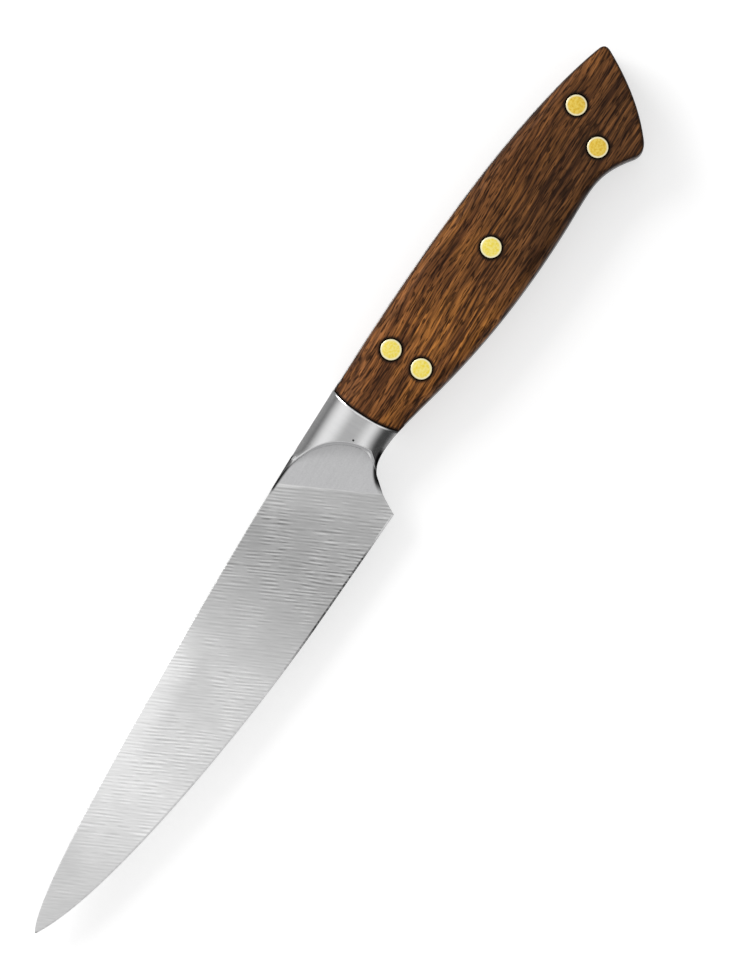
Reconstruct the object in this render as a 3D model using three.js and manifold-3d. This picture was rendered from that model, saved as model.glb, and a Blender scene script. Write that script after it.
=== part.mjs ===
// A kitchen utility knife for barbecue work. Blade, bolster and full tang are one steel forging, and
// two wooden scales are held to the tang by five two-piece brass rivets.
// Sizes are in millimetres. In the knife's own group X runs from the point to the butt and is 0 where
// the faces of the wood begin, Y runs from the cutting edge to the spine and is 0 on the long axis, and
// Z is 0 on the middle plane of the steel. The finished part lies on its right side, on the plane Z = 0.

import * as THREE from 'three';
import { mergeVertices } from 'three/addons/utils/BufferGeometryUtils.js';
import Module from 'manifold-3d';

// Blade outline
const BLADE_LENGTH = 127; // point to heel, along X
const HEEL_TO_WOOD = 15.5; // heel to the front of the wood
const HEEL_DROP = 18; // heel below the long axis
const POINT_LAND = 0.3; // height of the blunted point
const POINT_RISE = 0.15; // middle of the point above the long axis
const SPINE_RISE = 9.5; // level spine above the long axis
const SPINE_LEVEL = 17.6; // length of level spine ahead of the wood
const SPINE_POINT_HANDLE = new THREE.Vector2(8.1, 5.6); // curve handle of the spine at the point
const SPINE_LEVEL_HANDLE = new THREE.Vector2(50, 1); // curve handle of the spine where it gets level
const EDGE_STRAIGHT = 32; // straight stretch of the edge ahead of the heel
const EDGE_STRAIGHT_RISE = 1.25; // how far that stretch climbs
const EDGE_POINT_HANDLE = new THREE.Vector2(15.4, 9.25); // curve handle of the edge at the point
const EDGE_STRAIGHT_HANDLE = new THREE.Vector2(29.5, 1.2); // curve handle where it gets straight
const CHOIL_TO_WOOD = 4.5; // end of the rounded notch behind the heel to the front of the wood
const BOLSTER_DROP = 8; // underside of the bolster below the long axis
const CHOIL_HEEL_HANDLE = new THREE.Vector2(4, 7.7); // curve handle of the notch at the heel
const CHOIL_BOLSTER_HANDLE = 5.1; // length of the notch's curve handle under the bolster

// Blade section
const STEEL_THICKNESS = 2.4; // tang and flat part of the blade by the bolster
const POINT_THICKNESS = 0.7; // spine at the point
const BEVEL_WIDTH = 0.5; // width of the sharpened bevel
const BEVEL_LIMIT = 0.5; // most of a section's height that the bevel takes up, beside the point
const BEVEL_THICKNESS = 0.4; // steel where the sharpened bevel begins
const EDGE_LAND = 0.06; // width of the cutting edge itself

// Line where the tapered grind meets the flat part of the blade, as distances ahead of the wood
const GRIND_LINE_SPINE = 24.1;
const GRIND_LINE_CHOIL = 12.8;

// Bolster: it flares towards the wood, and the flat of the blade is let into it up to a shoulder on a
// quarter superellipse
const FLARE_LENGTH = 26.5; // stretch of the flare ahead of the wood
const FADE_POWER = 14; // how abruptly the arc across the bolster fades where the flare gets low
const SHOULDER = 0.1; // share of the way from the flat to the wood over which the shoulder rises
const FLAT_END = 6.35; // flat to the front of the wood where it comes nearest
const FLAT_CURVE_LENGTH = 20.25; // half axis along X of the superellipse
const FLAT_CURVE_HEIGHT = 16.2; // half axis along Y of the superellipse
const FLAT_CURVE_DROP = 7; // centre of the superellipse below the long axis
const FLAT_CURVE_POWER = 2.3;
const CHOIL_RIM_LEAN = 0.83; // run along X for each millimetre of Y of the flat's border beside the notch

// Handle outline
const HANDLE_LENGTH = 102.6; // front of the wood to the butt
const HANDLE_THICKNESS = 17;
const GRIP_FRONT_HANDLE = new THREE.Vector2(41.4, 0.3); // curve handle of the handle's spine at the wood
const GRIP_BUTT_HANDLE = new THREE.Vector2(23.4, 7.5); // curve handle of the handle's spine at the butt
const BUTT_TOP = new THREE.Vector2(1.6, 0.4); // end of the handle's spine, from the butt and the long axis
const BUTT_CORNER = new THREE.Vector2(-0.8, -0.35); // control point of the corner, same origin
const BUTT_START = new THREE.Vector2(0.3, -2.6); // start of the slanting butt, same origin
const BUTT_BULGE = new THREE.Vector2(6.1, -14.2); // control point of the butt's curve, same origin
const BEAK_BACK = new THREE.Vector2(13.9, -20.5); // end of the slanting butt, same origin
const BEAK_TIP = new THREE.Vector2(16.2, -22.2); // control point of the beak, same origin
const BEAK_FRONT = new THREE.Vector2(18.3, -20.8); // beginning of the beak, same origin
const BEAK_HANDLE = new THREE.Vector2(8, 6.2); // curve handle of the belly at the beak
const PALM_TO_BUTT = 42.6; // deepest part of the belly to the butt
const PALM_DROP = 16.2; // deepest part of the belly below the long axis
const PALM_REAR_HANDLE = 12.8; // length of the belly's curve handle behind the palm
const PALM_FRONT_HANDLE = 38.1; // length of the belly's curve handle ahead of the palm
const BELLY_FRONT_HANDLE = 11.6; // length of the belly's curve handle under the bolster

// Handle section: the sides stand upright and are rounded off to the flat outer faces with arcs
const SPINE_ROUND = 3; // radius of that rounding along the spine
const BELLY_ROUND = 3.7; // radius along the belly
const BUTT_ROUND = 1; // radius round the butt
const ROUND_FADE = 22; // stretch over which a radius changes towards the butt
const FRONT_ROUND = 8; // width of the shallower arc at the bolster
const FRONT_LEAN = 39; // steepest lean of that arc, at the rim, in degrees
const FRONT_FADE = 16; // stretch of the wood over which it changes to the quarter circles
const TANG_PROUD = 0.25; // how far the tang stands out round the wood
const JOINT_DRAFT = 3.4; // lean of the joint between bolster and wood, from the outer face to the tang
const JOINT_GAP = 0.3; // gap in that joint

// Rivets: places as distances behind the front of the wood, or ahead of the butt, and above the long axis
const FRONT_RIVETS_SETBACK = 16.4;
const FRONT_SPINE_RIVET_RISE = 3.2;
const FRONT_BELLY_RIVET_RISE = -5.1;
const MIDDLE_RIVET_SETBACK = 48.8;
const MIDDLE_RIVET_RISE = -3.6;
const REAR_SPINE_RIVET_INSET = 15.4;
const REAR_SPINE_RIVET_RISE = -2.6;
const REAR_BELLY_RIVET_INSET = 21;
const REAR_BELLY_RIVET_RISE = -12;
const HEAD_DIAMETER = 5;
const HEAD_THICKNESS = 2;
const HEAD_CHAMFER = 0.15;
const POST_DIAMETER = 2.2;
const SLEEVE_DIAMETER = 3.6;
const POST_CLEARANCE = 0.1; // round the post in the sleeve
const HOLE_CLEARANCE = 0.3; // round the heads and the sleeve in the wood and the tang
const SLEEVE_END_GAP = 1.5; // end of the sleeve to the other head
const POST_END_GAP = 1; // end of the post to the bottom of the sleeve

// Fineness of the facets
const BLADE_STATIONS = 24;
const POINT_CROWDING = 1.5; // 1 spaces the blade's stations evenly, more crowds them at the point
const HEEL_STATIONS = 5;
const SHOULDER_STEPS = 5;
const BOLSTER_STATIONS = 10;
const BOLSTER_STEPS = 20;
const OUTLINE_STEPS = 10;
const ROUND_STEPS = 6;
const RIVET_SIDES = 24;
const BISECTIONS = 40;

// Allowances of the cutting and joining bodies
const OVERSHOOT = 2; // how far a cutting body runs past what it cuts
const LAP = 0.8; // how far joined bodies reach into each other
const LAP_INSET = 0.1; // how far the end of a lap stays inside the other body

const HALF_STEEL = STEEL_THICKNESS / 2;
const HALF_HANDLE = HANDLE_THICKNESS / 2;
const SCALE_THICKNESS = HALF_HANDLE - HALF_STEEL;

const frontLean = THREE.MathUtils.degToRad(FRONT_LEAN);
const jointLean = JOINT_DRAFT / SCALE_THICKNESS; // run along X for each millimetre down the joint

const wasm = await Module();
wasm.setup();

// Solids

function closedSurface(points, triangles) {
  let volume = 0;
  for (const [a, b, c] of triangles) {
    volume += points[a].dot(new THREE.Vector3().crossVectors(points[b], points[c]));
  }
  const outward = volume > 0 ? triangles : triangles.map(([a, b, c]) => [a, c, b]);
  return new THREE.BufferGeometry().setFromPoints(points).setIndex(outward.flat());
}

// Solid of a closed surface. Where rings meet in a point the triangles between them have no area and go.
function solidOf(geometry) {
  const bare = geometry.clone();
  bare.deleteAttribute('normal');
  bare.deleteAttribute('uv');
  const merged = mergeVertices(bare);
  const vertProperties = Float32Array.from(merged.attributes.position.array);
  const corners = merged.index.array;
  const triangles = [];
  for (let start = 0; start < corners.length; start += 3) {
    const triangle = corners.slice(start, start + 3);
    if (new Set(triangle).size === 3) triangles.push(...triangle);
  }
  const triVerts = Uint32Array.from(triangles);
  return new wasm.Manifold(new wasm.Mesh({ numProp: 3, vertProperties, triVerts }));
}

function geometryOf(solid) {
  const { vertProperties, triVerts } = solid.getMesh();
  const geometry = new THREE.BufferGeometry();
  geometry.setAttribute('position', new THREE.Float32BufferAttribute(vertProperties, 3));
  geometry.setIndex(new THREE.Uint32BufferAttribute(triVerts, 1));
  geometry.computeVertexNormals();
  return geometry;
}

// Triangles of a flat polygon given by its corners in the plane, turning the way that the polygon does
function polygonTriangles(corners) {
  const turn = Math.sign(THREE.ShapeUtils.area(corners));
  return THREE.ShapeUtils.triangulateShape(corners, []).map(([a, b, c]) => {
    const ab = corners[b].clone().sub(corners[a]);
    const ac = corners[c].clone().sub(corners[a]);
    return ab.cross(ac) * turn > 0 ? [a, b, c] : [a, c, b];
  });
}

// Band of triangles between neighbouring rings that have the same number of points each
function bandTriangles(ringCount, ringSize) {
  const triangles = [];
  for (let ring = 0; ring < ringCount - 1; ring++) {
    for (let index = 0; index < ringSize; index++) {
      const a = ring * ringSize + index;
      const b = ring * ringSize + ((index + 1) % ringSize);
      triangles.push([a, b, b + ringSize], [a, b + ringSize, a + ringSize]);
    }
  }
  return triangles;
}

// Closed body through a row of rings, with a flat face on the first and the last. flatten gives the place
// of a ring's point in the plane where its face is drawn.
function ringBody(rings, flatten) {
  const ringSize = rings[0].length;
  const last = (rings.length - 1) * ringSize;
  const first = polygonTriangles(rings[0].map(flatten)).map(([a, b, c]) => [a, c, b]);
  const end = polygonTriangles(rings.at(-1).map(flatten)).map((face) => face.map((index) => index + last));
  return closedSurface(rings.flat(), [...bandTriangles(rings.length, ringSize), ...first, ...end]);
}

// Outline

const pointX = -HEEL_TO_WOOD - BLADE_LENGTH;
const heel = new THREE.Vector2(-HEEL_TO_WOOD, -HEEL_DROP);
const choilEnd = new THREE.Vector2(-CHOIL_TO_WOOD, -BOLSTER_DROP);
const palm = new THREE.Vector2(HANDLE_LENGTH - PALM_TO_BUTT, -PALM_DROP);

const spineCurve = new THREE.CurvePath();
const spineTip = new THREE.Vector2(pointX, POINT_RISE + POINT_LAND / 2);
const spineLevel = new THREE.Vector2(-SPINE_LEVEL, SPINE_RISE);
spineCurve.add(new THREE.CubicBezierCurve(
  spineTip,
  spineTip.clone().add(SPINE_POINT_HANDLE),
  spineLevel.clone().sub(SPINE_LEVEL_HANDLE),
  spineLevel,
));
spineCurve.add(new THREE.LineCurve(spineLevel, new THREE.Vector2(HANDLE_LENGTH, SPINE_RISE)));

const edgeTip = new THREE.Vector2(pointX, POINT_RISE - POINT_LAND / 2);
const edgeStraight = new THREE.Vector2(heel.x - EDGE_STRAIGHT, heel.y + EDGE_STRAIGHT_RISE);
const bellyCurve = new THREE.CubicBezierCurve(
  choilEnd,
  new THREE.Vector2(choilEnd.x + BELLY_FRONT_HANDLE, choilEnd.y),
  new THREE.Vector2(palm.x - PALM_FRONT_HANDLE, palm.y),
  palm,
);
const lowerCurve = new THREE.CurvePath();
lowerCurve.add(new THREE.CubicBezierCurve(
  edgeTip,
  new THREE.Vector2(edgeTip.x + EDGE_POINT_HANDLE.x, edgeTip.y - EDGE_POINT_HANDLE.y),
  new THREE.Vector2(edgeStraight.x - EDGE_STRAIGHT_HANDLE.x, edgeStraight.y + EDGE_STRAIGHT_HANDLE.y),
  edgeStraight,
));
lowerCurve.add(new THREE.LineCurve(edgeStraight, heel));
lowerCurve.add(new THREE.CubicBezierCurve(
  heel,
  heel.clone().add(CHOIL_HEEL_HANDLE),
  new THREE.Vector2(choilEnd.x - CHOIL_BOLSTER_HANDLE, choilEnd.y),
  choilEnd,
));
lowerCurve.add(bellyCurve);

// Height, at a given x, of a curve that runs towards +X
function heightAt(curve, x) {
  let low = 0;
  let high = 1;
  for (let step = 0; step < BISECTIONS; step++) {
    const middle = (low + high) / 2;
    if (curve.getPoint(middle).x < x) low = middle;
    else high = middle;
  }
  return curve.getPoint(high).y;
}

const spineAt = (x) => heightAt(spineCurve, x);
const lowerAt = (x) => heightAt(lowerCurve, x);

// The handle's outline as a row of corners with the rounding at each, counterclockwise from the underside
// of the bolster. inset draws it in on all sides.
function handleOutline(inset) {
  const fromButt = ({ x, y }) => new THREE.Vector2(HANDLE_LENGTH - x, y);
  const buttTop = fromButt(BUTT_TOP);
  const buttStart = fromButt(BUTT_START);
  const beakBack = fromButt(BEAK_BACK);
  const beakFront = fromButt(BEAK_FRONT);
  const bellyRound = ({ x }) => roundAt(x, BELLY_ROUND, beakFront.x - x);
  const spineRound = ({ x }) => roundAt(x, SPINE_ROUND, buttTop.x - x);
  const buttRound = ({ x }) => roundAt(x, BUTT_ROUND, 0);
  const front = new THREE.Vector2(-CHOIL_TO_WOOD, SPINE_RISE);
  const woodFront = new THREE.Vector2(0, SPINE_RISE);
  const stretches = [
    [bellyCurve, bellyRound],
    [new THREE.CubicBezierCurve(
      palm,
      new THREE.Vector2(palm.x + PALM_REAR_HANDLE, palm.y),
      new THREE.Vector2(beakFront.x - BEAK_HANDLE.x, beakFront.y + BEAK_HANDLE.y),
      beakFront,
    ), bellyRound],
    [new THREE.QuadraticBezierCurve(beakFront, fromButt(BEAK_TIP), beakBack), buttRound],
    [new THREE.QuadraticBezierCurve(beakBack, fromButt(BUTT_BULGE), buttStart), buttRound],
    [new THREE.QuadraticBezierCurve(buttStart, fromButt(BUTT_CORNER), buttTop), buttRound],
    [new THREE.CubicBezierCurve(
      buttTop,
      new THREE.Vector2(buttTop.x - GRIP_BUTT_HANDLE.x, buttTop.y + GRIP_BUTT_HANDLE.y),
      woodFront.clone().add(GRIP_FRONT_HANDLE),
      woodFront,
    ), spineRound],
    [new THREE.LineCurve(woodFront, front), spineRound],
  ];
  const corners = stretches.flatMap(([curve, roundOf]) => {
    const steps = curve.isLineCurve ? 1 : OUTLINE_STEPS;
    return curve.getPoints(steps).slice(0, -1).map((place) => ({ place, round: roundOf(place) }));
  });
  corners.push({ place: front, round: spineRound(front) });
  const normals = leftNormals(corners.map(({ place }) => place));
  return corners.map(({ place, round }, index) => ({
    place: place.clone().addScaledVector(normals[index], inset),
    normal: normals[index],
    round,
  }));
}

// Width and steepest lean of the rounding at x, on a side with a given radius and at a distance from the butt
function roundAt(x, sideRadius, distance) {
  const { lerp, smoothstep } = THREE.MathUtils;
  const radius = lerp(BUTT_ROUND, sideRadius, smoothstep(distance, 0, ROUND_FADE));
  const behind = smoothstep(x, 0, FRONT_FADE);
  return { width: lerp(FRONT_ROUND, radius, behind), lean: lerp(frontLean, Math.PI / 2, behind) };
}

// Normals to the left of an open row of places
function leftNormals(places) {
  return places.map((place, index) => {
    const before = places[index - 1] ?? place;
    const after = places[index + 1] ?? place;
    return new THREE.Vector2(before.y - after.y, after.x - before.x).normalize();
  });
}

// Forged blade

// Ring of a blade section on the line from spine to edge, with the thickness at spine, bevel and edge
function bladeRing(spine, edge, spineThickness, bevelThickness, edgeThickness) {
  const bevel = edge.clone().lerp(spine, Math.min(BEVEL_WIDTH / edge.distanceTo(spine), BEVEL_LIMIT));
  const half = [[edge, edgeThickness], [bevel, bevelThickness], [spine, spineThickness]];
  const left = half.map(([place, thickness]) => new THREE.Vector3(place.x, place.y, thickness / 2));
  const right = left.toReversed().map(({ x, y, z }) => new THREE.Vector3(x, y, -z));
  return [...left, ...right];
}

const flattenAcross = ({ y, z }) => new THREE.Vector2(y, z);

function bladeBody() {
  const { lerp } = THREE.MathUtils;
  const heelLineSpine = heel.x - (GRIND_LINE_SPINE - GRIND_LINE_CHOIL);
  const rings = [];
  for (let station = 0; station < BLADE_STATIONS; station++) {
    const share = (station / BLADE_STATIONS) ** POINT_CROWDING;
    const spineX = lerp(pointX, heelLineSpine, share);
    const edgeX = lerp(pointX, heel.x, share);
    const spine = new THREE.Vector2(spineX, spineAt(spineX));
    const edge = new THREE.Vector2(edgeX, lowerAt(edgeX));
    const spineThickness = lerp(POINT_THICKNESS, STEEL_THICKNESS, share);
    rings.push(bladeRing(spine, edge, spineThickness, BEVEL_THICKNESS, EDGE_LAND));
  }
  for (let station = 0; station <= HEEL_STATIONS; station++) {
    const share = station / HEEL_STATIONS;
    const spineX = lerp(heelLineSpine, -GRIND_LINE_SPINE, share);
    const edgeX = lerp(heel.x, -GRIND_LINE_CHOIL, share);
    const spine = new THREE.Vector2(spineX, spineAt(spineX));
    const edge = new THREE.Vector2(edgeX, lowerAt(edgeX));
    const bevelThickness = lerp(BEVEL_THICKNESS, STEEL_THICKNESS, share);
    const edgeThickness = lerp(EDGE_LAND, STEEL_THICKNESS, share);
    rings.push(bladeRing(spine, edge, STEEL_THICKNESS, bevelThickness, edgeThickness));
  }
  const lapSpine = new THREE.Vector2(LAP - GRIND_LINE_SPINE, spineAt(LAP - GRIND_LINE_SPINE) - LAP_INSET);
  const lapEdge = new THREE.Vector2(LAP - GRIND_LINE_CHOIL, lowerAt(LAP - GRIND_LINE_CHOIL) + LAP_INSET);
  const lapThickness = STEEL_THICKNESS - LAP_INSET;
  rings.push(bladeRing(lapSpine, lapEdge, lapThickness, lapThickness, lapThickness));
  return solidOf(ringBody(rings, flattenAcross));
}

const grindTop = new THREE.Vector2(-GRIND_LINE_SPINE, spineAt(-GRIND_LINE_SPINE));
const grindFoot = new THREE.Vector2(-GRIND_LINE_CHOIL, lowerAt(-GRIND_LINE_CHOIL));

function grindLineAt(y) {
  return THREE.MathUtils.mapLinear(y, grindFoot.y, grindTop.y, grindFoot.x, grindTop.x);
}

// End of the flat of the blade at a height y: the superellipse, or the slanting border beside the notch,
// and never ahead of the grind line
function flatEndAt(y) {
  const centreX = -FLAT_END - FLAT_CURVE_LENGTH;
  const rise = THREE.MathUtils.clamp((y + FLAT_CURVE_DROP) / FLAT_CURVE_HEIGHT, 0, 1);
  const curve = centreX + FLAT_CURVE_LENGTH * (1 - rise ** FLAT_CURVE_POWER) ** (1 / FLAT_CURVE_POWER);
  const border = grindFoot.x + CHOIL_RIM_LEAN * (y - grindFoot.y);
  return Math.max(Math.min(curve, border), grindLineAt(y));
}

// How far the bolster's arc has dropped at a distance from its rim
function roundDrop(distance) {
  const sine = Math.sin(frontLean) * (1 - THREE.MathUtils.clamp(distance / FRONT_ROUND, 0, 1));
  return (FRONT_ROUND / Math.sin(frontLean)) * (1 - Math.sqrt(1 - sine ** 2));
}

// Place on the bolster at x and y, a given way from 0 at the end of the flat to 1 at the front of the wood.
// The flare ends at the joint, and the arc gets shallower where the flare is lower than the arc is deep.
function bolsterPlace(way, x, y) {
  const drop = roundDrop(spineAt(x) - y) + roundDrop(y - lowerAt(x));
  const ahead = jointLean * drop - x;
  const flare = SCALE_THICKNESS * THREE.MathUtils.clamp(1 - ahead / FLARE_LENGTH, 0, 1);
  const share = flare / (flare ** FADE_POWER + roundDrop(0) ** FADE_POWER) ** (1 / FADE_POWER);
  const shoulder = Math.sqrt(1 - (1 - Math.min(way / SHOULDER, 1)) ** 2);
  return new THREE.Vector3(x, y, HALF_STEEL + shoulder * (flare - share * drop));
}

// X on the underside at a given way from the end of the flat to the front of the wood
function undersideX(way) {
  let low = grindFoot.x;
  let high = 0;
  for (let step = 0; step < BISECTIONS; step++) {
    const middle = (low + high) / 2;
    if (middle < flatEndAt(lowerAt(middle)) * (1 - way)) low = middle;
    else high = middle;
  }
  return high;
}

// Ring round the bolster between a height on the underside and one on the spine. xAt gives the ring's x
// at each height between them.
function bolsterRing(way, lowest, highest, xAt) {
  const left = [];
  for (let step = 0; step <= BOLSTER_STEPS; step++) {
    const share = (1 - Math.cos((Math.PI * step) / BOLSTER_STEPS)) / 2;
    const y = THREE.MathUtils.lerp(lowest, highest, share);
    left.push(bolsterPlace(way, xAt(y), y));
  }
  const right = left.toReversed().map(({ x, y, z }) => new THREE.Vector3(x, y, -z));
  return [...left, ...right];
}

// Prism across the whole knife over a polygon in X and Z
function crossPrism(corners, side) {
  const shape = new THREE.Shape(corners.map(([x, z]) => new THREE.Vector2(x, side * z)));
  const depth = 2 * (PALM_DROP + HEEL_DROP + SPINE_RISE);
  const geometry = new THREE.ExtrudeGeometry(shape, { depth, bevelEnabled: false });
  return solidOf(geometry.translate(0, 0, -depth / 2).rotateX(Math.PI / 2));
}

function bolsterBody() {
  const bolsterEnd = JOINT_DRAFT + JOINT_GAP + LAP;
  const rings = [bolsterRing(0, grindFoot.y, grindTop.y, grindLineAt)];
  const ways = [];
  for (let step = 0; step < SHOULDER_STEPS; step++) {
    ways.push(SHOULDER * (1 - Math.cos((Math.PI / 2) * (step / SHOULDER_STEPS))));
  }
  for (let station = 0; station <= BOLSTER_STATIONS; station++) {
    ways.push(THREE.MathUtils.lerp(SHOULDER, 1, station / BOLSTER_STATIONS));
  }
  for (const way of ways) {
    const highest = spineAt(grindTop.x * (1 - way));
    rings.push(bolsterRing(way, lowerAt(undersideX(way)), highest, (y) => flatEndAt(y) * (1 - way)));
  }
  rings.push(bolsterRing(1, lowerAt(bolsterEnd), spineAt(bolsterEnd), () => bolsterEnd));
  let body = solidOf(ringBody(rings, flattenAcross));
  const behindJoint = [
    [JOINT_DRAFT, HALF_STEEL],
    [bolsterEnd + OVERSHOOT, HALF_STEEL],
    [bolsterEnd + OVERSHOOT, HALF_HANDLE + OVERSHOOT],
    [0, HALF_HANDLE + OVERSHOOT],
    [0, HALF_HANDLE],
  ];
  for (const side of [1, -1]) body = body.subtract(crossPrism(behindJoint, side));
  return body;
}

function tangBody() {
  const outline = new THREE.Shape(handleOutline(0).map(({ place }) => place));
  const geometry = new THREE.ExtrudeGeometry(outline, { depth: STEEL_THICKNESS, bevelEnabled: false });
  return solidOf(geometry.translate(0, 0, -HALF_STEEL));
}

// Rivets

const RIVETS = [
  ['front_spine_rivet', FRONT_RIVETS_SETBACK, FRONT_SPINE_RIVET_RISE],
  ['front_belly_rivet', FRONT_RIVETS_SETBACK, FRONT_BELLY_RIVET_RISE],
  ['middle_rivet', MIDDLE_RIVET_SETBACK, MIDDLE_RIVET_RISE],
  ['rear_spine_rivet', HANDLE_LENGTH - REAR_SPINE_RIVET_INSET, REAR_SPINE_RIVET_RISE],
  ['rear_belly_rivet', HANDLE_LENGTH - REAR_BELLY_RIVET_INSET, REAR_BELLY_RIVET_RISE],
];

const headSeat = HALF_HANDLE - HEAD_THICKNESS;

// Turned body round Z from its radii and heights, listed down from the top of the axis
function turned(profile) {
  const upward = profile.toReversed().map(([radius, height]) => new THREE.Vector2(radius, height));
  return new THREE.LatheGeometry(upward, RIVET_SIDES).rotateX(Math.PI / 2);
}

function headProfile() {
  const radius = HEAD_DIAMETER / 2;
  return [
    [0, HALF_HANDLE],
    [radius - HEAD_CHAMFER, HALF_HANDLE],
    [radius, HALF_HANDLE - HEAD_CHAMFER],
    [radius, headSeat],
  ];
}

function maleRivet() {
  const radius = POST_DIAMETER / 2;
  const postEnd = POST_END_GAP - headSeat;
  return turned([...headProfile(), [radius, headSeat], [radius, postEnd], [0, postEnd]]);
}

function femaleRivet() {
  const outer = SLEEVE_DIAMETER / 2;
  const inner = POST_DIAMETER / 2 + POST_CLEARANCE;
  const sleeveEnd = SLEEVE_END_GAP - headSeat;
  return turned([
    ...headProfile(),
    [outer, headSeat],
    [outer, sleeveEnd],
    [inner, sleeveEnd],
    [inner, headSeat],
    [0, headSeat],
  ]);
}

// Cuts the rivets' holes: a clear way for the sleeves and, on the given sides, a seat for each head
function drillRivetHoles(body, sides) {
  const hole = (diameter, depth) => {
    const radius = diameter / 2 + HOLE_CLEARANCE;
    return new THREE.CylinderGeometry(radius, radius, depth, RIVET_SIDES).rotateX(Math.PI / 2);
  };
  let drilled = body;
  for (const [, x, y] of RIVETS) {
    const way = hole(SLEEVE_DIAMETER, HANDLE_THICKNESS + 2 * OVERSHOOT);
    drilled = drilled.subtract(solidOf(way.translate(x, y, 0)));
    for (const side of sides) {
      const depth = HEAD_THICKNESS + OVERSHOOT;
      const seat = hole(HEAD_DIAMETER, depth).translate(x, y, side * (headSeat + depth / 2));
      drilled = drilled.subtract(solidOf(seat));
    }
  }
  return drilled;
}

// Scales

const flattenAlong = ({ x, y }) => new THREE.Vector2(x, y);

function scaleBody(side) {
  const outline = handleOutline(TANG_PROUD);
  const rings = [outline.map(({ place }) => new THREE.Vector3(place.x, place.y, side * HALF_STEEL))];
  for (let step = 0; step <= ROUND_STEPS; step++) {
    rings.push(outline.map(({ place, normal, round }) => {
      const radius = round.width / Math.sin(round.lean);
      const lean = round.lean * (1 - step / ROUND_STEPS);
      const { x, y } = place.clone().addScaledVector(normal, round.width - radius * Math.sin(lean));
      return new THREE.Vector3(x, y, side * (HALF_HANDLE - radius * (1 - Math.cos(lean))));
    }));
  }
  const aheadOfJoint = [
    [-CHOIL_TO_WOOD - OVERSHOOT, HALF_STEEL - OVERSHOOT],
    [JOINT_DRAFT + JOINT_GAP + jointLean * OVERSHOOT, HALF_STEEL - OVERSHOOT],
    [JOINT_GAP - jointLean * OVERSHOOT, HALF_HANDLE + OVERSHOOT],
    [-CHOIL_TO_WOOD - OVERSHOOT, HALF_HANDLE + OVERSHOOT],
  ];
  const body = solidOf(ringBody(rings, flattenAlong));
  return drillRivetHoles(body.subtract(crossPrism(aheadOfJoint, side)), [side]);
}

// Assembly

const steel = { color: 0xc4c6c8, roughness: 0.35, metalness: 1 };
const wood = { color: 0x5f3c22, roughness: 0.55, metalness: 0 };
const brass = { color: 0xdcc56c, roughness: 0.35, metalness: 1 };

const knife = new THREE.Group();

function addPiece(name, geometry, finish) {
  const piece = new THREE.Mesh(geometry, new THREE.MeshStandardMaterial(finish));
  piece.name = name;
  knife.add(piece);
  return piece;
}

const forging = bladeBody().add(bolsterBody()).add(tangBody());
addPiece('forged_blade', geometryOf(drillRivetHoles(forging, [])), steel);
addPiece('left_scale', geometryOf(scaleBody(1)), wood);
addPiece('right_scale', geometryOf(scaleBody(-1)), wood);
for (const [name, x, y] of RIVETS) {
  addPiece(`${name}_male`, maleRivet(), brass).position.set(x, y, 0);
  const female = addPiece(`${name}_female`, femaleRivet(), brass);
  female.position.set(x, y, 0);
  female.rotation.x = Math.PI;
}

// The origin is under the middle of the knife, on the surface that it lies on
const bounds = new THREE.Box3().setFromObject(knife);
const centre = bounds.getCenter(new THREE.Vector3());
knife.position.set(-centre.x, -centre.y, -bounds.min.z);
const part = new THREE.Group();
part.add(knife);

export default part;
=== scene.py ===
import math

import bmesh
import bpy
import numpy as np
from mathutils import Matrix, Vector


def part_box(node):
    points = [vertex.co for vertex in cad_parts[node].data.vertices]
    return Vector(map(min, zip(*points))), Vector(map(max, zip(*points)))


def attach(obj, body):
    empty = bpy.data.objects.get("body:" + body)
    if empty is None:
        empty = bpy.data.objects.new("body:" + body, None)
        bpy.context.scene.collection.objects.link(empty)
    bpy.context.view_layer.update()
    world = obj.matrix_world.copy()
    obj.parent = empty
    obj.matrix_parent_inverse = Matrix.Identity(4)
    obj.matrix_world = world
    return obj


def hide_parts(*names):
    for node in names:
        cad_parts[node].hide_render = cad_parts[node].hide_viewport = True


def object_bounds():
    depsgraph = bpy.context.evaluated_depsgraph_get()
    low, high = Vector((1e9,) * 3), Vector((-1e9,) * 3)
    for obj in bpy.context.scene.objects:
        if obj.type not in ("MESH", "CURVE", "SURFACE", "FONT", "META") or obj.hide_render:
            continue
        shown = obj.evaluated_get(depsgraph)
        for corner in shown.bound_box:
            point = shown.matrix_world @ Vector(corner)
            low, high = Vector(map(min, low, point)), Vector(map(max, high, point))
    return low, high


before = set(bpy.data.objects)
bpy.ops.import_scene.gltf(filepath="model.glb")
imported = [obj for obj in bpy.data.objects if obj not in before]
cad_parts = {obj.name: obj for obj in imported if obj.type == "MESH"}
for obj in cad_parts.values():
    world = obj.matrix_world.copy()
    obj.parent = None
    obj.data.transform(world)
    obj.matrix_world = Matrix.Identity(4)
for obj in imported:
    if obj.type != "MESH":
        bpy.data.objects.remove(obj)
cad_low, cad_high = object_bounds()

# Sizes are in millimetres in the knife's own frame: X runs from the point to the butt and is 0 at the
# front of the wood, Y runs from the edge to the spine and is 0 on the long axis, Z is 0 on the steel's
# middle plane.
MM = 0.001

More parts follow.
